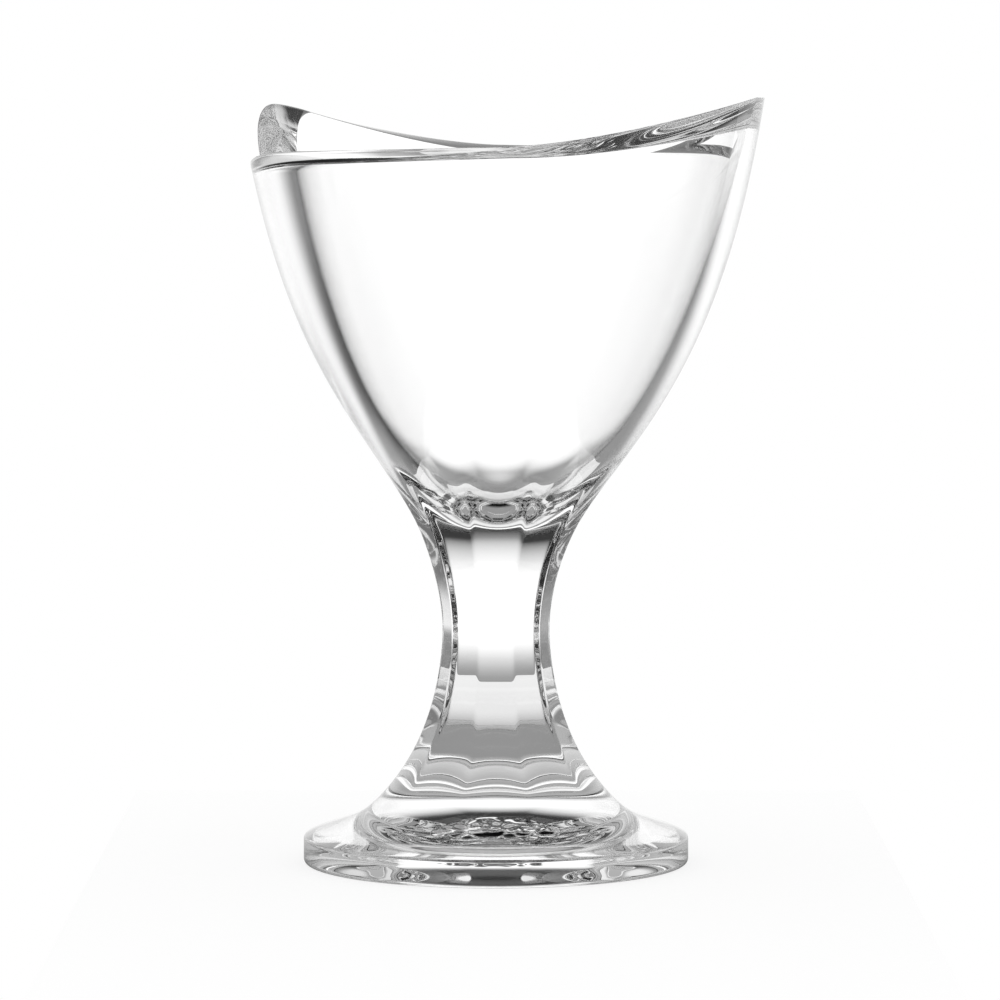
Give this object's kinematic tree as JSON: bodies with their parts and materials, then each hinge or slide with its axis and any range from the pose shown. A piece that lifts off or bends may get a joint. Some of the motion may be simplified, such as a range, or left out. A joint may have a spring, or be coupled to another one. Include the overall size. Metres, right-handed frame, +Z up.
{
  "type": "parfait glass",
  "caption": "Footed parfait glass of clear pressed glass: thick-walled bowl with a swirled rim, short panelled stem and round foot.",
  "frame": {"origin": "centre of the flat ring under the foot, on the surface that the glass stands on", "axes": "+Z up along the stem and bowl; +X towards the rim's near tip; the picture looks along +Y"},
  "size_m": [0.1023, 0.1016, 0.153],
  "materials": {
    "glass": "clear, fire polished"
  },
  "bodies": {
    "root": {"bowl": "glass", "stem": "glass", "foot": "glass"}
  },
  "joints": []
}
